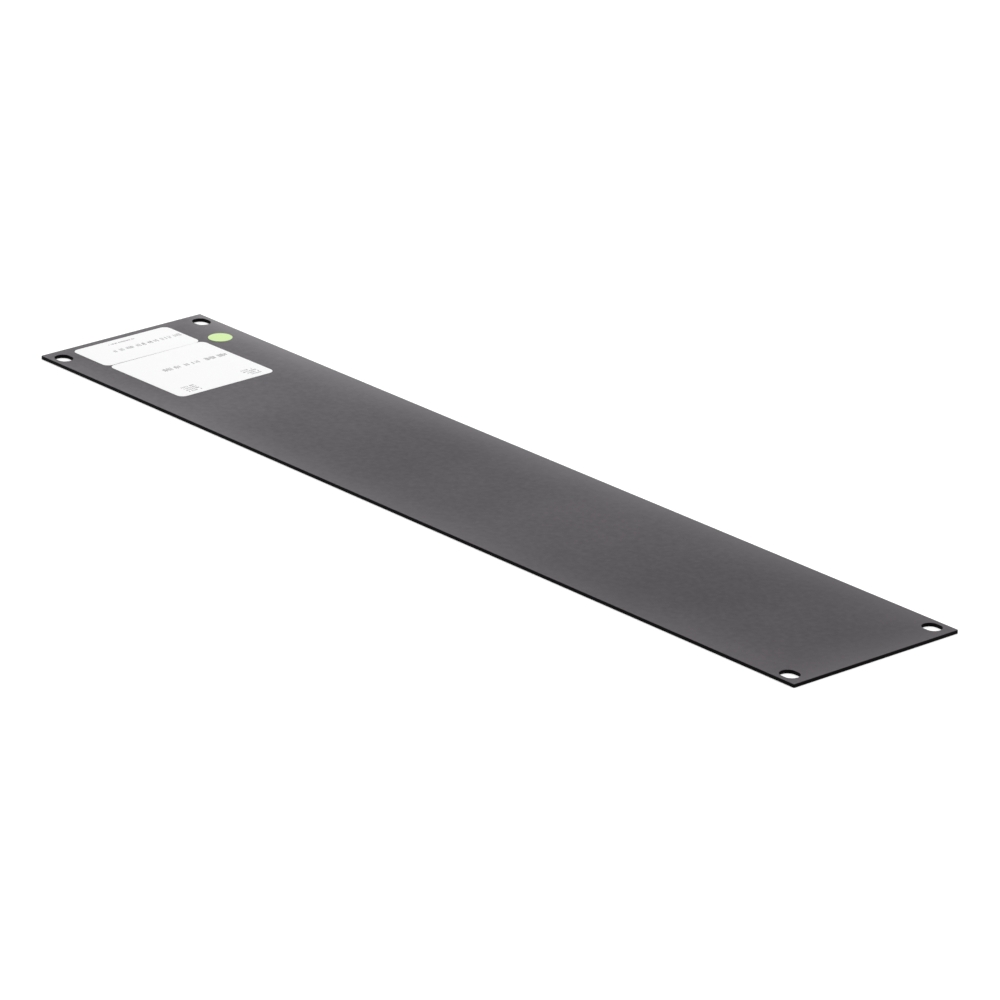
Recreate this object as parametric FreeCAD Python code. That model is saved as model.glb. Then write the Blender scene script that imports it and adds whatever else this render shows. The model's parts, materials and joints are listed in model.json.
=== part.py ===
import FreeCAD, Part
import math
import os

# Blanking panel that closes two units of a 19 inch equipment rack.
#
# The panel is one flat rectangle of steel sheet. It is sheared to size, punched with four oblong
# mounting holes and powder coated all over, so the coating rounds every edge a little. Two paper
# labels and a round inspection sticker are stuck to one face by hand.
#
# It lies flat with the labelled face up. X runs along the panel, Y across it and Z through it. The
# origin is the middle of the plain face underneath. All lengths are in millimetres.

# Outline, from the rack standard
PANEL_LENGTH = 482.6
RACK_UNIT = 44.45               # height of one unit of the rack
PANEL_UNITS = 2
STACKING_CLEARANCE = 0.8        # taken off the height, so that neighbouring panels don't bind
CORNER_RADIUS = 0.6

# Sheet and coating
SHEET_GAUGE = 1.5
COATING_FILM = 0.08             # on each face
EDGE_ROUND = 0.25               # sheared edges under the coating

# Mounting holes, one at each corner
HOLE_INSET = 8.75               # hole centre to the panel's end
HOLE_TO_UNIT_LINE = 6.35        # hole centre to the nearest line between two rack units
HOLE_WIDTH = 7.0                # passes an M6 rack screw
HOLE_RUN = 2.0                  # straight run between the half round ends
RIM_ROUND = 0.2                 # punched rims under the coating

# Two paper labels, side by side at the left end
LABEL_FILM = 0.1                # paper and adhesive
LABEL_CORNER_RADIUS = 3.2
SMALL_LABEL_WIDTH = 25.4
SMALL_LABEL_HEIGHT = 52.0
SMALL_LABEL_MARGIN = 4.0        # bare panel between its edge and the panel's end
SMALL_LABEL_DROP = 4.2          # its middle to the panel's middle line
LARGE_LABEL_WIDTH = 51.0
LARGE_LABEL_HEIGHT = 52.0
LARGE_LABEL_SKEW = 0.45         # degrees, turned a little as it was stuck on
LARGE_LABEL_RISE = 0.8          # its middle above the small label's middle
LABEL_GAP = 0.1                 # bare panel between the labels, where they come closest

# Round inspection sticker beside the labels
STICKER_DIAMETER = 10.8
STICKER_FILM = 0.08
STICKER_FROM_END = 30.6         # its centre to the panel's left end
STICKER_FROM_EDGE = 12.5        # its centre to the panel's far edge

# Sizes that follow from the ones above
PANEL_HEIGHT = PANEL_UNITS * RACK_UNIT - STACKING_CLEARANCE
PANEL_THICKNESS = SHEET_GAUGE + 2 * COATING_FILM
HOLE_PITCH_X = PANEL_LENGTH - 2 * HOLE_INSET
HOLE_PITCH_Y = PANEL_UNITS * RACK_UNIT - 2 * HOLE_TO_UNIT_LINE


def rounded_plate(length, width, thickness, corner_radius):
    """Flat plate standing on the XY plane, centred on the origin, with its corners rounded."""
    low_corner = FreeCAD.Vector(-length / 2, -width / 2, 0)
    plate = Part.makeBox(length, width, thickness, low_corner)
    upright_edges = [edge for edge in plate.Edges if edge.BoundBox.ZLength > thickness / 2]
    return plate.makeFillet(corner_radius, upright_edges)


def broad_faces(sheet):
    """The two faces of a sheet that aren't its edges or the walls of its holes."""
    return sorted(sheet.Faces, key=lambda face: face.Area)[-2:]


def outline_edges(face):
    return face.OuterWire.Edges


def hole_edges(face):
    hole_wires = [wire for wire in face.Wires if not wire.isSame(face.OuterWire)]
    return [edge for wire in hole_wires for edge in wire.Edges]


def hole_outline():
    """Closed wire of one mounting hole, centred on the origin, with its run along X."""
    radius = HOLE_WIDTH / 2
    half_run = HOLE_RUN / 2
    far_left = FreeCAD.Vector(-half_run, radius, 0)
    far_right = FreeCAD.Vector(half_run, radius, 0)
    near_left = FreeCAD.Vector(-half_run, -radius, 0)
    near_right = FreeCAD.Vector(half_run, -radius, 0)
    left_tip = FreeCAD.Vector(-half_run - radius, 0, 0)
    right_tip = FreeCAD.Vector(half_run + radius, 0, 0)
    left_end = Part.Arc(far_left, left_tip, near_left)
    near_side = Part.LineSegment(near_left, near_right)
    right_end = Part.Arc(near_right, right_tip, far_right)
    far_side = Part.LineSegment(far_right, far_left)
    return Part.Wire([curve.toShape() for curve in (left_end, near_side, right_end, far_side)])


def hole_punchings():
    """The four slugs of sheet that the punch takes out."""
    slug = Part.Face(hole_outline()).extrude(FreeCAD.Vector(0, 0, PANEL_THICKNESS))
    slugs = []
    for end in (-1, 1):
        for side in (-1, 1):
            centre = FreeCAD.Vector(end * HOLE_PITCH_X / 2, side * HOLE_PITCH_Y / 2, 0)
            slugs.append(slug.translated(centre))
    return slugs


def make_panel():
    """The coated sheet: sheared outline first, then the punched holes, each with softened edges."""
    sheet = rounded_plate(PANEL_LENGTH, PANEL_HEIGHT, PANEL_THICKNESS, CORNER_RADIUS)
    sheared = [edge for face in broad_faces(sheet) for edge in outline_edges(face)]
    sheet = sheet.makeFillet(EDGE_ROUND, sheared)
    sheet = sheet.cut(hole_punchings())
    punched = [edge for face in broad_faces(sheet) for edge in hole_edges(face)]
    return sheet.makeFillet(RIM_ROUND, punched)


def make_identification_label():
    """The narrower label, stuck on square near the panel's left end."""
    label = rounded_plate(SMALL_LABEL_WIDTH, SMALL_LABEL_HEIGHT, LABEL_FILM, LABEL_CORNER_RADIUS)
    centre_x = -PANEL_LENGTH / 2 + SMALL_LABEL_MARGIN + SMALL_LABEL_WIDTH / 2
    return label.translated(FreeCAD.Vector(centre_x, -SMALL_LABEL_DROP, PANEL_THICKNESS))


def make_stock_label():
    """The wider label, turned by its skew and set against the narrower one without touching it."""
    label = rounded_plate(LARGE_LABEL_WIDTH, LARGE_LABEL_HEIGHT, LABEL_FILM, LABEL_CORNER_RADIUS)
    label.rotate(FreeCAD.Vector(0, 0, 0), FreeCAD.Vector(0, 0, 1), LARGE_LABEL_SKEW)
    skew = math.radians(abs(LARGE_LABEL_SKEW))
    half_span = (LARGE_LABEL_WIDTH * math.cos(skew) + LARGE_LABEL_HEIGHT * math.sin(skew)) / 2
    small_label_end = -PANEL_LENGTH / 2 + SMALL_LABEL_MARGIN + SMALL_LABEL_WIDTH
    centre_x = small_label_end + LABEL_GAP + half_span
    centre_y = LARGE_LABEL_RISE - SMALL_LABEL_DROP
    return label.translated(FreeCAD.Vector(centre_x, centre_y, PANEL_THICKNESS))


def make_inspection_dot():
    centre_x = -PANEL_LENGTH / 2 + STICKER_FROM_END
    centre_y = PANEL_HEIGHT / 2 - STICKER_FROM_EDGE
    foot = FreeCAD.Vector(centre_x, centre_y, PANEL_THICKNESS)
    return Part.makeCylinder(STICKER_DIAMETER / 2, STICKER_FILM, foot)


def write_part(node, shape):
    """Write the one solid of a shape to the STEP file of its node."""
    shape.Solids[0].exportStep(os.path.join("parts", node + ".step"))


os.makedirs("parts", exist_ok=True)
write_part("panel", make_panel())
write_part("identification_label", make_identification_label())
write_part("stock_label", make_stock_label())
write_part("inspection_dot", make_inspection_dot())
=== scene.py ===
import functools
import json
import math
import random

import bmesh
import bpy
from mathutils import Matrix, Vector


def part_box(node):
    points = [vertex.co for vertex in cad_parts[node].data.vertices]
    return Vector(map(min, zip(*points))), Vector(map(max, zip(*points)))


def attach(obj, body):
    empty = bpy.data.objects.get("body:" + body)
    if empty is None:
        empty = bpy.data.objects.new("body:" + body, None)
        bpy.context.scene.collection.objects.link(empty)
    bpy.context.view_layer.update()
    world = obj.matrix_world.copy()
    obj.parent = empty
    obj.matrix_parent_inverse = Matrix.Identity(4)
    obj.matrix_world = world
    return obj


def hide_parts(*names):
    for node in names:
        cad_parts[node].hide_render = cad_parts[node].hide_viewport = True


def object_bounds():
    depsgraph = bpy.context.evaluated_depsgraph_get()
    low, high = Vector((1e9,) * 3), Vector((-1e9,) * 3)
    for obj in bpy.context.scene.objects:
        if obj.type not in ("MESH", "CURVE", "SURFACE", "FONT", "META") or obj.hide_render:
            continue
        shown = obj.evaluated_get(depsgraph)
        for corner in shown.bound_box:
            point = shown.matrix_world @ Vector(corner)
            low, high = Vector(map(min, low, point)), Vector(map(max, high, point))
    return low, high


# A rack blanking panel: satin black powder coat on punched steel sheet, two white paper labels
# with their print, and a round pale green sticker. It lies on a pale studio floor.
#
# Geometry Nodes build the sheet again at the frame's sizes, so that its edges have a clean swept
# rounding. The labels and the sticker are the frame's own solids with better finishes. The labels'
# print is a thin film of ink. All lengths are in metres, and MM turns millimetres into them.

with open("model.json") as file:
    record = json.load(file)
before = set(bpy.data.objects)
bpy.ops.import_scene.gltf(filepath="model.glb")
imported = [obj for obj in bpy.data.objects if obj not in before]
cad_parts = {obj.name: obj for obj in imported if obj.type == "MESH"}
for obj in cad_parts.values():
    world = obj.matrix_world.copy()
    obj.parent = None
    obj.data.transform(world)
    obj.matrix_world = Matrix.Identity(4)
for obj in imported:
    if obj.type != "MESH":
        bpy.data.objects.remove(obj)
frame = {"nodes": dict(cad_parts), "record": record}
cad_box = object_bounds()

MM = 0.001
BODY = "root"

# Sheet, as far as the frame doesn't give it
CORNER_RADIUS = 0.6 * MM
EDGE_ROUND = 0.25 * MM
RIM_ROUND = 0.2 * MM
FLAT_REACH = 1.5                # how far a swept edge reaches onto the faces, in edge roundings
CORNER_STEPS = 5
ROUND_STEPS = 4
HOLE_END_STEPS = 12
WELD = 0.001 * MM               # points closer than this are one
WALL_TILT = 0.7                 # a facet whose normal rises less than this belongs to an edge

# Powder coat
PEEL_SIZE = 2.4 * MM            # of the waves of the orange peel
GRAIN_SIZE = 0.55 * MM
CLOUD_SIZE = 100 * MM           # of the patches where the spray lay a little thicker
CLOUD_SEED = 28.0               # settles where those patches fall
PEEL_SHARE = 0.35               # of the mottle, and the rest comes from the patches
TEAR_SIZE = 0.5 * MM            # of the torn metal under the coat on a sheared edge

# Build-up of the powder coat beside each edge, where the coat is smoother and its colour is lifted
# to a painted sheen, set stronger at some edges than at others
EDGE_THICKENING_AND_SHEEN_WIDTH = 40 * MM
EDGE_THICKENING_AND_SHEEN_FALL = 3.0             # power of the nearness to an edge
EDGE_THICKENING_AND_SHEEN_SHARES = (             # axis and side of each edge, and the nearness right at it
    ("X", -1, 0.7),
    ("X", 1, 0.9),
    ("Y", -1, 0.75),
    ("Y", 1, 0.92),
)

# Paper and film
FIBRE_SIZE = 0.6 * MM           # of the clumps of fibre in the paper
PIGMENT_SIZE = 1.2 * MM         # of the faint patches of pigment in the film

# Print on the labels
INK_FILM = 0.024 * MM           # half of it lies in the paper
DOT_SIZE = 0.4 * MM
STROKE_PITCH = 0.8 * MM
STROKE_SHARE = (0.3, 0.62)      # of the pitch, shortest and longest
STROKE_RISE = (0.55, 1.0)       # of the row's height, shortest and tallest
PRINTED_SHARE = 0.75            # of the strokes in a row, and the rest are left out
WORD_LENGTH = (3 * MM, 7 * MM)  # shortest and longest
WORD_GAP = 1.5 * MM
STOCK_LABEL_SKEW = math.radians(0.45)   # the print is turned as the label's own solid is

# View
VIEW_AZIMUTH = math.radians(49.28)
VIEW_ELEVATION = math.radians(20.94)
VIEW_ROLL = math.radians(0.57)
VIEW_DISTANCE = 2.638
VIEW_LENS = 229.0               # millimetres, as Blender's cameras take it
AIM_RIGHT = 10.5 * MM           # middle of the view, across it from the frame's origin
AIM_UP = -4.6 * MM              # and up it

# Studio
FLOOR_SIZE = 12.0
FLOOR_COLOUR = "#e6e6e6"
FLOOR_DROP = 0.05 * MM          # below the sheet, so that no faces lie in one plane
FLOOR_GLOW = 0.45               # takes the seen floor up to white and keeps its shadow
CONTACT_LIGHT = 0.3 * MM        # light passes the floor this close under the sheet
ROOM_LIGHT = 0.7                # strength of the white room, where it only lights things
SEEN_ROOM = 1.0                 # white, where the room is seen directly, mirrored or through


# ---------------------------------------------------------------- nodes

def linear(hex_colour):
    """The linear RGBA of an sRGB hex colour."""
    shades = [int(hex_colour[start:start + 2], 16) / 255 for start in (1, 3, 5)]
    return (*[s / 12.92 if s <= 0.04045 else ((s + 0.055) / 1.055) ** 2.4 for s in shades], 1.0)


def add_node(tree, kind, settings=None, feeds=None):
    """Add a node with its settings, and feed its sockets.

    A feed is a value, another node's socket, or a list of sockets that one input joins. Sockets
    that share a name are given by number: a Mix node's are 0 for the factor, 2 and 3 for its
    values, and 6 and 7 for its colours.
    """
    node = tree.nodes.new(kind)
    for name, value in (settings or {}).items():
        setattr(node, name, value)
    for socket, feed in (feeds or {}).items():
        if isinstance(feed, list):
            for source in feed:
                tree.links.new(source, node.inputs[socket])
        elif isinstance(feed, bpy.types.NodeSocket):
            tree.links.new(feed, node.inputs[socket])
        else:
            node.inputs[socket].default_value = feed
    return node


def new_material(name):
    material = bpy.data.materials.new(name)
    material.use_nodes = True
    material.node_tree.nodes.clear()
    return material


def finish_material(material, shader):
    add_node(material.node_tree, "ShaderNodeOutputMaterial", feeds={"Surface": shader})
    return material


# ---------------------------------------------------------------- finishes

def powder_coated_steel():
    """Satin black powder coat, sprayed and baked on cold rolled steel.

    The baked powder flows out unevenly, which leaves a low orange peel with a fine grain on it, so
    the black face mirrors a white room as a soft, faintly mottled dark grey. Where the spray lay
    thicker it flows out smoother, so the face mirrors the room more and looks lighter: a little in
    broad patches, and more beside the edges, where the powder builds up. Beside the edges the
    colour itself is also lifted to a lighter grey, which is a painted sheen, stronger at some
    edges.
    """
    material = new_material("powder_coated_steel_satin_black")
    tree = material.node_tree
    place = add_node(tree, "ShaderNodeTexCoord").outputs["Object"]
    peel = add_node(tree, "ShaderNodeTexNoise", feeds={
        "Vector": place, "Scale": 1 / PEEL_SIZE, "Detail": 2.0, "Roughness": 0.5})
    # Real powder grain is about 0.1 mm across, and it is drawn coarser so that it shows
    grain = add_node(tree, "ShaderNodeTexNoise", feeds={
        "Vector": place, "Scale": 1 / GRAIN_SIZE, "Detail": 2.0, "Roughness": 0.6})
    cloud = add_node(tree, "ShaderNodeTexNoise", {"noise_dimensions": "4D"}, {
        "Vector": place, "W": CLOUD_SEED, "Scale": 1 / CLOUD_SIZE, "Detail": 3.0,
        "Roughness": 0.5})
    uneven = add_node(tree, "ShaderNodeMix", {"data_type": "FLOAT"}, {
        0: PEEL_SHARE, 2: cloud.outputs["Fac"], 3: peel.outputs["Fac"]})
    # Noise keeps near its middle, so the middle third of its range is stretched over the whole
    mottle = add_node(tree, "ShaderNodeMapRange", feeds={
        "Value": uneven.outputs[0], "From Min": 0.34, "From Max": 0.66})
    # Nearness to an edge: it smooths the coat there and lifts its colour to a painted sheen
    thickening_and_sheen = edge_thickening_and_sheen(tree, place)

    thin_colour = add_node(tree, "ShaderNodeMix", {"data_type": "RGBA"}, {
        0: mottle.outputs[0], 6: linear("#1a121b"), 7: linear("#2c222d")})
    # Beside the edges the colour is lifted to a lighter grey: a painted sheen
    colour = add_node(tree, "ShaderNodeMix", {"data_type": "RGBA"}, {
        0: thickening_and_sheen, 6: thin_colour.outputs[2], 7: linear("#302731")})
    thin_roughness = add_node(tree, "ShaderNodeMapRange", feeds={
        "Value": mottle.outputs[0], "To Min": 0.615, "To Max": 0.525})
    roughness = add_node(tree, "ShaderNodeMix", {"data_type": "FLOAT"}, {
        0: thickening_and_sheen, 2: thin_roughness.outputs["Result"], 3: 0.36})

    grain_bump = add_node(tree, "ShaderNodeBump", feeds={
        "Strength": 0.25, "Distance": 0.02 * MM, "Height": grain.outputs["Fac"]})
    peel_bump = add_node(tree, "ShaderNodeBump", feeds={
        "Strength": 0.3, "Distance": 0.03 * MM, "Height": peel.outputs["Fac"],
        "Normal": grain_bump.outputs["Normal"]})
    shader = add_node(tree, "ShaderNodeBsdfPrincipled", feeds={
        "Base Color": colour.outputs[2], "Roughness": roughness.outputs[0],
        "Normal": peel_bump.outputs["Normal"]})
    return finish_material(material, shader.outputs["BSDF"])


def edge_thickening_and_sheen(tree, place):
    """How thick the coat is, and how strong its painted sheen, beside the edges: 0 over most of a
    face, and towards 1 at an edge.
    """
    spot = add_node(tree, "ShaderNodeSeparateXYZ", feeds={0: place})
    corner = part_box("panel")[1]
    nearness = 0.0
    for axis, side, share in EDGE_THICKENING_AND_SHEEN_SHARES:
        edge = side * (corner.x if axis == "X" else corner.y)
        near_edge = add_node(tree, "ShaderNodeMapRange", feeds={
            "Value": spot.outputs[axis], "From Min": edge - side * EDGE_THICKENING_AND_SHEEN_WIDTH,
            "From Max": edge, "To Max": share})
        nearness = add_node(tree, "ShaderNodeMath", {"operation": "MAXIMUM"}, {
            0: near_edge.outputs["Result"], 1: nearness}).outputs[0]
    thickening_and_sheen = add_node(tree, "ShaderNodeMath", {"operation": "POWER"}, {
        0: nearness, 1: EDGE_THICKENING_AND_SHEEN_FALL})
    return thickening_and_sheen.outputs[0]


def edge_coat_painted_shade():
    """The same powder coat where it draws thin over a sheared or punched edge.

    The torn metal under it gives a coarse bump. Its near-black colour and very weak reflection are
    painted shade, far darker than the face's coat, so that the edges and the holes' walls look near
    black.
    """
    material = new_material("powder_coated_steel_edge_painted_shade")
    tree = material.node_tree
    place = add_node(tree, "ShaderNodeTexCoord").outputs["Object"]
    tear = add_node(tree, "ShaderNodeTexNoise", feeds={
        "Vector": place, "Scale": 1 / TEAR_SIZE, "Detail": 2.0, "Roughness": 0.6})
    # Near-black colour: painted shade on the edges and the holes' walls
    colour = add_node(tree, "ShaderNodeMix", {"data_type": "RGBA"}, {
        0: tear.outputs["Fac"], 6: linear("#040304"), 7: linear("#0b090b")})
    bump = add_node(tree, "ShaderNodeBump", feeds={
        "Strength": 0.4, "Distance": 0.04 * MM, "Height": tear.outputs["Fac"]})
    # The very low specular level paints shade too: the walls barely mirror the bright floor
    shader = add_node(tree, "ShaderNodeBsdfPrincipled", feeds={
        "Base Color": colour.outputs[2], "Roughness": 0.6, "Specular IOR Level": 0.04,
        "Normal": bump.outputs["Normal"]})
    return finish_material(material, shader.outputs["BSDF"])


def label_paper():
    """Coated label paper, die cut: bright white and matt, with a faint cloudy fibre."""
    material = new_material("label_paper_die_cut")
    tree = material.node_tree
    place = add_node(tree, "ShaderNodeTexCoord").outputs["Object"]
    fibre = add_node(tree, "ShaderNodeTexNoise", feeds={
        "Vector": place, "Scale": 1 / FIBRE_SIZE, "Detail": 3.0, "Roughness": 0.6})
    colour = add_node(tree, "ShaderNodeMix", {"data_type": "RGBA"}, {
        0: fibre.outputs["Fac"], 6: linear("#fafafb"), 7: linear("#fefefe")})
    bump = add_node(tree, "ShaderNodeBump", feeds={
        "Strength": 0.15, "Distance": 0.01 * MM, "Height": fibre.outputs["Fac"]})
    shader = add_node(tree, "ShaderNodeBsdfPrincipled", feeds={
        "Base Color": colour.outputs[2], "Roughness": 0.7, "Normal": bump.outputs["Normal"]})
    return finish_material(material, shader.outputs["BSDF"])


def sticker_film():
    """Pale green vinyl film, printed in one flat colour with a matt face."""
    material = new_material("vinyl_film_pale_green")
    tree = material.node_tree
    place = add_node(tree, "ShaderNodeTexCoord").outputs["Object"]
    pigment = add_node(tree, "ShaderNodeTexNoise", feeds={
        "Vector": place, "Scale": 1 / PIGMENT_SIZE, "Detail": 2.0, "Roughness": 0.5})
    colour = add_node(tree, "ShaderNodeMix", {"data_type": "RGBA"}, {
        0: pigment.outputs["Fac"], 6: linear("#c0e28a"), 7: linear("#cae898")})
    shader = add_node(tree, "ShaderNodeBsdfPrincipled", feeds={
        "Base Color": colour.outputs[2], "Roughness": 0.45})
    return finish_material(material, shader.outputs["BSDF"])


def label_ink():
    """Thermal print on label paper: a thin dark grey deposit, a little uneven from dot to dot."""
    material = new_material("thermal_print_dark_grey")
    tree = material.node_tree
    place = add_node(tree, "ShaderNodeTexCoord").outputs["Object"]
    # Real printed dots are 0.125 mm across, and they are drawn coarser so that they show
    dots = add_node(tree, "ShaderNodeTexNoise", feeds={
        "Vector": place, "Scale": 1 / DOT_SIZE, "Detail": 1.0})
    colour = add_node(tree, "ShaderNodeMix", {"data_type": "RGBA"}, {
        0: dots.outputs["Fac"], 6: linear("#5c5b5d"), 7: linear("#929193")})
    shader = add_node(tree, "ShaderNodeBsdfPrincipled", feeds={
        "Base Color": colour.outputs[2], "Roughness": 0.6})
    return finish_material(material, shader.outputs["BSDF"])


def seen_rays(tree):
    """1 for a ray that shows the background to the camera: direct, mirrored or through glass."""
    path = add_node(tree, "ShaderNodeLightPath")
    direct_or_mirrored = add_node(tree, "ShaderNodeMath", {"operation": "MAXIMUM"}, {
        0: path.outputs["Is Camera Ray"], 1: path.outputs["Is Glossy Ray"]})
    seen = add_node(tree, "ShaderNodeMath", {"operation": "MAXIMUM"}, {
        0: direct_or_mirrored.outputs[0], 1: path.outputs["Is Transmission Ray"]})
    return seen.outputs[0]


def studio_floor():
    """Pale matt floor, lifted to white where it is seen directly, mirrored or through.

    It is clear from below, and light reaches the sheet's underside through it, so that a view from
    below shows the underside.
    """
    material = new_material("studio_floor")
    tree = material.node_tree
    paint = add_node(tree, "ShaderNodeBsdfDiffuse", feeds={"Color": linear(FLOOR_COLOUR)})
    lift = add_node(tree, "ShaderNodeMath", {"operation": "MULTIPLY"}, {
        0: seen_rays(tree), 1: FLOOR_GLOW})
    glow = add_node(tree, "ShaderNodeEmission", feeds={"Strength": lift.outputs[0]})
    solid = add_node(tree, "ShaderNodeAddShader", feeds={0: paint.outputs[0], 1: glow.outputs[0]})
    path = add_node(tree, "ShaderNodeLightPath")
    is_contact = add_node(tree, "ShaderNodeMath", {"operation": "LESS_THAN"}, {
        0: path.outputs["Ray Length"], 1: CONTACT_LIGHT})
    side = add_node(tree, "ShaderNodeNewGeometry")
    is_clear = add_node(tree, "ShaderNodeMath", {"operation": "MAXIMUM"}, {
        0: side.outputs["Backfacing"], 1: is_contact.outputs[0]})
    clear = add_node(tree, "ShaderNodeBsdfTransparent")
    floor = add_node(tree, "ShaderNodeMixShader", feeds={
        0: is_clear.outputs[0], 1: solid.outputs[0], 2: clear.outputs[0]})
    return finish_material(material, floor.outputs[0])


# ---------------------------------------------------------------- geometry nodes

def new_geometry_tree(name, inputs):
    """A node tree with a geometry output and the named inputs: {name: socket type}."""
    tree = bpy.data.node_groups.new(name, "GeometryNodeTree")
    tree.interface.new_socket("Geometry", in_out="OUTPUT", socket_type="NodeSocketGeometry")
    for label, kind in inputs.items():
        tree.interface.new_socket(label, in_out="INPUT", socket_type=kind)
    return tree


def grow(tree, values):
    """Run a geometry tree with its input values, and return the result as a plain mesh."""
    holder = bpy.data.objects.new(tree.name, bpy.data.meshes.new(tree.name))
    bpy.context.scene.collection.objects.link(holder)
    modifier = holder.modifiers.new("grow", "NODES")
    modifier.node_group = tree
    for item in tree.interface.items_tree:
        if item.in_out == "INPUT":
            modifier[item.identifier] = values[item.name]
    graph = bpy.context.evaluated_depsgraph_get()
    mesh = bpy.data.meshes.new_from_object(holder.evaluated_get(graph))
    holder.modifiers.remove(modifier)
    bpy.data.objects.remove(holder)
    drop_empty_slot(mesh)
    return mesh


def drop_empty_slot(mesh):
    """Set Material leaves the first slot empty, so it goes and the others move up."""
    finishes = [finish for finish in mesh.materials if finish]
    places = [finishes.index(mesh.materials[face.material_index]) for face in mesh.polygons]
    mesh.materials.clear()
    for finish in finishes:
        mesh.materials.append(finish)
    mesh.polygons.foreach_set("material_index", places)


def add_oblong(tree, length, width, radius, steps):
    """A closed flat curve: a rectangle with its corners rounded."""
    rectangle = add_node(tree, "GeometryNodeCurvePrimitiveQuadrilateral", feeds={
        "Width": length, "Height": width})
    rounded = add_node(tree, "GeometryNodeFilletCurve", {"mode": "POLY"}, {
        "Curve": rectangle.outputs["Curve"], "Radius": radius, "Limit Radius": True,
        "Count": steps})
    return rounded.outputs["Curve"]


def add_swept_edge(tree, path, thickness, radius, inward):
    """Sweep the sheet's rounded edge along a closed path.

    The metal lies inward of an outline (1) and outward of a hole's path (-1). The strip reaches a
    little way onto both faces, so that the rounding ends in a flat.
    """
    reach = add_node(tree, "ShaderNodeMath", {"operation": "MULTIPLY"}, {
        0: radius, 1: -FLAT_REACH * inward})
    # A swept section's Y points down, so the section is drawn upside down
    drop = add_node(tree, "ShaderNodeMath", {"operation": "MULTIPLY"}, {0: thickness, 1: -1.0})
    corners = [
        add_node(tree, "ShaderNodeCombineXYZ", feeds={"X": reach.outputs[0]}),
        add_node(tree, "ShaderNodeCombineXYZ"),
        add_node(tree, "ShaderNodeCombineXYZ", feeds={"Y": drop.outputs[0]}),
        add_node(tree, "ShaderNodeCombineXYZ", feeds={"X": reach.outputs[0], "Y": drop.outputs[0]}),
    ]
    square = add_node(tree, "GeometryNodeCurvePrimitiveQuadrilateral", {"mode": "POINTS"}, {
        f"Point {number}": corner.outputs[0] for number, corner in enumerate(corners, 1)})
    opened = add_node(tree, "GeometryNodeSetSplineCyclic", feeds={
        "Geometry": square.outputs["Curve"], "Cyclic": False})
    section = add_node(tree, "GeometryNodeFilletCurve", {"mode": "POLY"}, {
        "Curve": opened.outputs["Geometry"], "Radius": radius, "Count": ROUND_STEPS})
    upright = add_node(tree, "GeometryNodeSetCurveNormal", {"mode": "Z_UP"}, {"Curve": path})
    swept = add_node(tree, "GeometryNodeCurveToMesh", feeds={
        "Curve": upright.outputs["Curve"], "Profile Curve": section.outputs["Curve"]})
    if inward < 0:
        return swept.outputs["Mesh"]
    turned = add_node(tree, "GeometryNodeFlipFaces", feeds={"Mesh": swept.outputs["Mesh"]})
    return turned.outputs["Mesh"]


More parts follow.
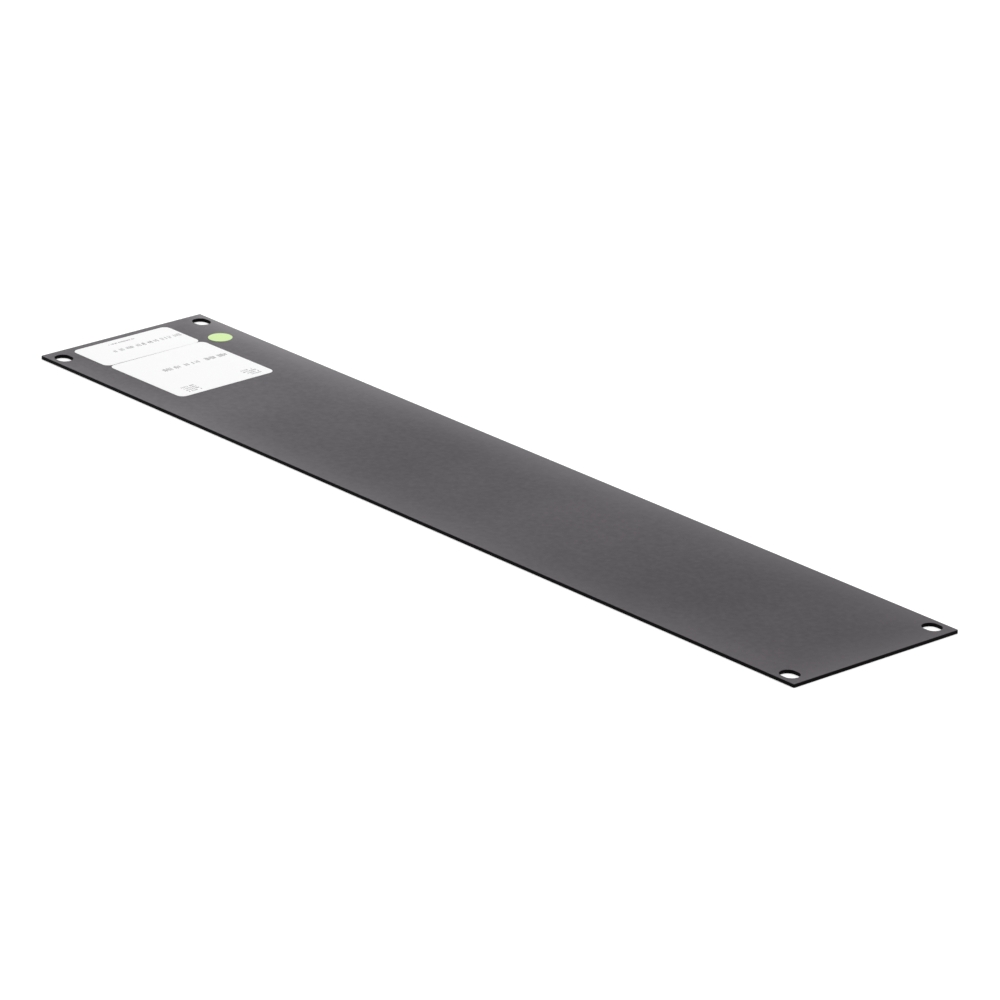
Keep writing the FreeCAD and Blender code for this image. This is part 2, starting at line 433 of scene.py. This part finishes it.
def punched_sheet_tree():
    """Flat sheet with a hole at each corner: its edges are swept, and its faces then filled."""
    tree = new_geometry_tree("punched_sheet", {
        "Length": "NodeSocketFloat", "Height": "NodeSocketFloat", "Thickness": "NodeSocketFloat",
        "Corner Radius": "NodeSocketFloat", "Edge Round": "NodeSocketFloat",
        "Hole Pitch Along": "NodeSocketFloat", "Hole Pitch Across": "NodeSocketFloat",
        "Hole Length": "NodeSocketFloat", "Hole Width": "NodeSocketFloat",
        "Rim Round": "NodeSocketFloat",
        "Face Finish": "NodeSocketMaterial", "Shaded Edge Finish": "NodeSocketMaterial"})
    size = add_node(tree, "NodeGroupInput").outputs

    outline = add_oblong(tree, size["Length"], size["Height"], size["Corner Radius"], CORNER_STEPS)
    end_radius = add_node(tree, "ShaderNodeMath", {"operation": "MULTIPLY"}, {
        0: size["Hole Width"], 1: 0.5})
    hole = add_oblong(tree, size["Hole Length"], size["Hole Width"], end_radius.outputs[0],
                      HOLE_END_STEPS)
    centres = add_node(tree, "GeometryNodeMeshGrid", feeds={
        "Size X": size["Hole Pitch Along"], "Size Y": size["Hole Pitch Across"],
        "Vertices X": 2, "Vertices Y": 2})
    holes = add_node(tree, "GeometryNodeInstanceOnPoints", feeds={
        "Points": centres.outputs["Mesh"], "Instance": hole})
    hole_paths = add_node(tree, "GeometryNodeRealizeInstances", feeds={
        "Geometry": holes.outputs["Instances"]})
    sheared = add_swept_edge(tree, outline, size["Thickness"], size["Edge Round"], 1)
    punched = add_swept_edge(tree, hole_paths.outputs["Geometry"], size["Thickness"],
                             size["Rim Round"], -1)
    edges = add_node(tree, "GeometryNodeJoinGeometry", feeds={"Geometry": [sheared, punched]})

    # The strips' lower borders bound the underside, and the same face raised is the top
    faces_beside = add_node(tree, "GeometryNodeInputMeshEdgeNeighbors")
    is_border = add_node(tree, "FunctionNodeCompare", {"data_type": "INT", "operation": "EQUAL"}, {
        2: faces_beside.outputs["Face Count"], 3: 1})
    place = add_node(tree, "GeometryNodeInputPosition")
    height = add_node(tree, "ShaderNodeSeparateXYZ", feeds={0: place.outputs[0]})
    middle = add_node(tree, "ShaderNodeMath", {"operation": "MULTIPLY"}, {
        0: size["Thickness"], 1: 0.5})
    is_low = add_node(tree, "ShaderNodeMath", {"operation": "LESS_THAN"}, {
        0: height.outputs["Z"], 1: middle.outputs[0]})
    is_low_border = add_node(tree, "FunctionNodeBooleanMath", {"operation": "AND"}, {
        0: is_border.outputs[0], 1: is_low.outputs[0]})
    border = add_node(tree, "GeometryNodeMeshToCurve", feeds={
        "Mesh": edges.outputs["Geometry"], "Selection": is_low_border.outputs[0]})
    face = add_node(tree, "GeometryNodeFillCurve", {"mode": "TRIANGLES"}, {
        "Curve": border.outputs["Curve"]})
    rise = add_node(tree, "ShaderNodeCombineXYZ", feeds={"Z": size["Thickness"]})
    top = add_node(tree, "GeometryNodeTransform", feeds={
        "Geometry": face.outputs["Mesh"], "Translation": rise.outputs[0]})
    underside = add_node(tree, "GeometryNodeFlipFaces", feeds={"Mesh": face.outputs["Mesh"]})
    shell = add_node(tree, "GeometryNodeJoinGeometry", feeds={"Geometry": [
        edges.outputs["Geometry"], top.outputs["Geometry"], underside.outputs["Mesh"]]})
    closed = add_node(tree, "GeometryNodeMergeByDistance", feeds={
        "Geometry": shell.outputs["Geometry"], "Distance": WELD})

    whole = add_node(tree, "GeometryNodeRealizeInstances", feeds={
        "Geometry": closed.outputs["Geometry"]})
    facing = add_node(tree, "GeometryNodeInputNormal")
    rise_of_normal = add_node(tree, "ShaderNodeSeparateXYZ", feeds={0: facing.outputs[0]})
    tilt = add_node(tree, "ShaderNodeMath", {"operation": "ABSOLUTE"}, {
        0: rise_of_normal.outputs["Z"]})
    is_wall = add_node(tree, "ShaderNodeMath", {"operation": "LESS_THAN"}, {
        0: tilt.outputs[0], 1: WALL_TILT})
    faced = add_node(tree, "GeometryNodeSetMaterial", feeds={
        "Geometry": whole.outputs["Geometry"], "Material": size["Face Finish"]})
    # The edges and the holes' walls get the darker finish that paints their shade
    edged = add_node(tree, "GeometryNodeSetMaterial", feeds={
        "Geometry": faced.outputs["Geometry"], "Selection": is_wall.outputs[0],
        "Material": size["Shaded Edge Finish"]})
    add_node(tree, "NodeGroupOutput", feeds={"Geometry": edged.outputs["Geometry"]})
    return tree


@functools.cache
def printed_strokes_tree():
    """Rows of short printed strokes along Y, of random size and with random gaps.

    Every block of print grows from this one tree.
    """
    tree = new_geometry_tree("printed_strokes", {
        "Rows": "NodeSocketInt", "Row Pitch": "NodeSocketFloat", "Row Height": "NodeSocketFloat",
        "Strokes": "NodeSocketInt", "Stroke Pitch": "NodeSocketFloat",
        "Film": "NodeSocketFloat", "Printed Share": "NodeSocketFloat", "Seed": "NodeSocketInt",
        "Ink": "NodeSocketMaterial"})
    size = add_node(tree, "NodeGroupInput").outputs
    spans = []
    for count, pitch in (("Rows", "Row Pitch"), ("Strokes", "Stroke Pitch")):
        gaps = add_node(tree, "ShaderNodeMath", {"operation": "SUBTRACT"}, {0: size[count], 1: 1.0})
        spans.append(add_node(tree, "ShaderNodeMath", {"operation": "MULTIPLY"}, {
            0: gaps.outputs[0], 1: size[pitch]}).outputs[0])
    places = add_node(tree, "GeometryNodeMeshGrid", feeds={
        "Size X": spans[0], "Size Y": spans[1],
        "Vertices X": size["Rows"], "Vertices Y": size["Strokes"]})
    cell = add_node(tree, "ShaderNodeCombineXYZ", feeds={
        "X": size["Row Height"], "Y": size["Stroke Pitch"], "Z": size["Film"]})
    stroke = add_node(tree, "GeometryNodeMeshCube", feeds={"Size": cell.outputs[0]})
    share = add_node(tree, "FunctionNodeRandomValue", {"data_type": "FLOAT_VECTOR"}, {
        0: (STROKE_RISE[0], STROKE_SHARE[0], 1.0), 1: (STROKE_RISE[1], STROKE_SHARE[1], 1.0),
        "Seed": size["Seed"]})
    is_printed = add_node(tree, "FunctionNodeRandomValue", {"data_type": "BOOLEAN"}, {
        "Probability": size["Printed Share"], "Seed": size["Seed"]})
    strokes = add_node(tree, "GeometryNodeInstanceOnPoints", feeds={
        "Points": places.outputs["Mesh"], "Selection": is_printed.outputs[3],
        "Instance": stroke.outputs["Mesh"], "Scale": share.outputs[0]})
    whole = add_node(tree, "GeometryNodeRealizeInstances", feeds={
        "Geometry": strokes.outputs["Instances"]})
    inked = add_node(tree, "GeometryNodeSetMaterial", feeds={
        "Geometry": whole.outputs["Geometry"], "Material": size["Ink"]})
    add_node(tree, "NodeGroupOutput", feeds={"Geometry": inked.outputs["Geometry"]})
    return tree


# ---------------------------------------------------------------- pieces

def add_piece(name, mesh):
    """A finished piece of the panel, with its place in its mesh."""
    piece = bpy.data.objects.new(name, mesh)
    bpy.context.scene.collection.objects.link(piece)
    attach(piece, BODY)
    return piece


def add_coated_sheet(face_finish, shaded_edge_finish):
    """The panel's sheet, at the size of the frame's solid and with the holes of its mount."""
    low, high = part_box("panel")
    mounts = {mount["name"]: mount for mount in frame["record"]["mounts"]}
    holes = mounts["rack_screw_holes"]["dims"]
    mesh = grow(punched_sheet_tree(), {
        "Length": high.x - low.x, "Height": high.y - low.y, "Thickness": high.z - low.z,
        "Corner Radius": CORNER_RADIUS, "Edge Round": EDGE_ROUND,
        "Hole Pitch Along": holes["spacing_x_mm"] * MM,
        "Hole Pitch Across": holes["spacing_y_mm"] * MM,
        "Hole Length": holes["slot_length_mm"] * MM, "Hole Width": 2 * holes["hole_r_mm"] * MM,
        "Rim Round": RIM_ROUND, "Face Finish": face_finish, "Shaded Edge Finish": shaded_edge_finish})
    middle = (low + high) / 2
    mesh.transform(Matrix.Translation((middle.x, middle.y, low.z)))
    mesh.shade_smooth()
    sheet = add_piece("coated_sheet", mesh)
    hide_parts("panel")


def print_block(node, ink, seed, from_left, from_far, row_height, length, rows=1, row_pitch=0.0,
                stroke_pitch=STROKE_PITCH, printed_share=PRINTED_SHARE):
    """A block of strokes on a label.

    Its place is its first row's middle, from the label's left edge, and its far end, from the
    label's far edge.
    """
    low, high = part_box(node)
    mesh = grow(printed_strokes_tree(), {
        "Rows": rows, "Row Pitch": row_pitch, "Row Height": row_height,
        "Strokes": round(length / stroke_pitch), "Stroke Pitch": stroke_pitch,
        "Film": INK_FILM, "Printed Share": printed_share, "Seed": seed, "Ink": ink})
    middle_x = low.x + from_left + (rows - 1) * row_pitch / 2
    middle_y = high.y - from_far - length / 2
    mesh.transform(Matrix.Translation((middle_x, middle_y, high.z)))
    return mesh


def print_line(node, ink, seed, from_left, from_far, row_height, length):
    """A line of blocks the size of words, each of random length."""
    draw = random.Random(seed)
    blocks = []
    start = 0.0
    while length - start > WORD_LENGTH[0]:
        word = min(draw.uniform(*WORD_LENGTH), length - start)
        blocks.append(print_block(node, ink, seed + len(blocks), from_left, from_far + start,
                                  row_height, word))
        start += word + WORD_GAP
    return blocks


def add_print(name, node, blocks, ink, skew=0.0):
    """Join the blocks of a label's print, turned with the label."""
    low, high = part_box(node)
    joined = bmesh.new()
    for block in blocks:
        joined.from_mesh(block)
    mesh = bpy.data.meshes.new(name)
    joined.to_mesh(mesh)
    joined.free()
    mesh.materials.append(ink)
    middle = (low + high) / 2
    turn = Matrix.Translation(middle) @ Matrix.Rotation(skew, 4, "Z") @ Matrix.Translation(-middle)
    mesh.transform(turn)
    add_piece(name, mesh)


def add_identification_print(ink):
    """A heading, and a line of small print nearer the panel's end."""
    label = "identification_label"
    heading = print_line(label, ink, seed=21, from_left=12.2 * MM, from_far=1.5 * MM,
                         row_height=3.2 * MM, length=38 * MM)
    note = print_block(label, ink, seed=5, from_left=4 * MM, from_far=20 * MM,
                       row_height=1.3 * MM, length=15 * MM, stroke_pitch=0.6 * MM,
                       printed_share=0.85)
    add_print("identification_print", label, [*heading, note], ink)


def add_stock_print(ink):
    """A heading, and a mark of four short rows in each corner away from the panel's end."""
    label = "stock_label"
    heading = print_line(label, ink, seed=12, from_left=19.9 * MM, from_far=2.5 * MM,
                         row_height=3.5 * MM, length=38 * MM)
    far_mark = print_block(label, ink, seed=31, from_left=41.7 * MM, from_far=5 * MM,
                           row_height=1.3 * MM, length=7 * MM, rows=4, row_pitch=1.9 * MM,
                           printed_share=0.85)
    near_mark = print_block(label, ink, seed=37, from_left=42 * MM, from_far=38 * MM,
                            row_height=1.3 * MM, length=7.5 * MM, rows=4, row_pitch=1.9 * MM,
                            printed_share=0.95)
    add_print("stock_print", label, [*heading, far_mark, near_mark], ink, skew=STOCK_LABEL_SKEW)


def set_finish(node, finish):
    """Give one of the frame's own solids a better finish."""
    slots = frame["nodes"][node].data.materials
    slots.clear()
    slots.append(finish)


# ---------------------------------------------------------------- studio

def add_camera():
    """Camera at the view's azimuth and elevation, rolled a little and aimed beside the origin."""
    level = math.cos(VIEW_ELEVATION)
    backward = Vector((math.sin(VIEW_AZIMUTH) * level, -math.cos(VIEW_AZIMUTH) * level,
                       math.sin(VIEW_ELEVATION)))
    level_right = Vector((math.cos(VIEW_AZIMUTH), math.sin(VIEW_AZIMUTH), 0.0))
    level_up = backward.cross(level_right)
    right = level_right * math.cos(VIEW_ROLL) + level_up * math.sin(VIEW_ROLL)
    up = level_up * math.cos(VIEW_ROLL) - level_right * math.sin(VIEW_ROLL)
    lens = bpy.data.cameras.new("camera")
    lens.lens = VIEW_LENS
    camera = bpy.data.objects.new("camera", lens)
    camera.matrix_world = Matrix((right, up, backward)).transposed().to_4x4()
    camera.location = right * AIM_RIGHT + up * AIM_UP + backward * VIEW_DISTANCE
    bpy.context.scene.collection.objects.link(camera)
    bpy.context.scene.camera = camera


def add_floor():
    bpy.ops.mesh.primitive_plane_add(size=FLOOR_SIZE, location=(0, 0, cad_box[0][2] - FLOOR_DROP))
    floor = bpy.context.object
    floor.name = "studio_floor"
    floor.data.materials.append(studio_floor())


def add_room_light():
    """An even white room, seen as full white and a little dimmer as a light."""
    world = bpy.data.worlds.new("studio_room")
    world.use_nodes = True
    tree = world.node_tree
    tree.nodes.clear()
    strength = add_node(tree, "ShaderNodeMix", {"data_type": "FLOAT"}, {
        0: seen_rays(tree), 2: ROOM_LIGHT, 3: SEEN_ROOM})
    room = add_node(tree, "ShaderNodeBackground", feeds={
        "Color": linear("#ffffff"), "Strength": strength.outputs[0]})
    add_node(tree, "ShaderNodeOutputWorld", feeds={"Surface": room.outputs[0]})
    bpy.context.scene.world = world


def add_softbox(name, place, aim, width, height, power):
    """A rectangular area lamp, with its power in watts."""
    lamp = bpy.data.lights.new(name, "AREA")
    lamp.shape = "RECTANGLE"
    lamp.size = width
    lamp.size_y = height
    lamp.energy = power
    softbox = bpy.data.objects.new(name, lamp)
    softbox.location = place
    softbox.rotation_euler = (Vector(aim) - Vector(place)).to_track_quat("-Z", "Y").to_euler()
    bpy.context.scene.collection.objects.link(softbox)


bpy.context.scene.view_settings.view_transform = "Standard"
add_camera()
add_floor()
add_room_light()
# One broad lamp overhead, and two low ones past the labelled end, whose light the face mirrors
add_softbox("top_softbox", place=(0.2, 0.2, 1.8), aim=(0.0, 0.0, 0.0), width=1.2, height=1.2,
            power=9.0)
add_softbox("back_softbox", place=(-0.75, 0.46, 0.26), aim=(-0.15, 0.0, 0.0), width=0.6,
            height=0.2, power=0.36)
add_softbox("end_softbox", place=(-0.5, 0.22, 0.13), aim=(-0.23, 0.0, 0.0), width=0.15,
            height=0.1, power=0.06)

add_coated_sheet(powder_coated_steel(), edge_coat_painted_shade())
paper = label_paper()
set_finish("identification_label", paper)
set_finish("stock_label", paper)
set_finish("inspection_dot", sticker_film())
ink = label_ink()
add_identification_print(ink)
add_stock_print(ink)
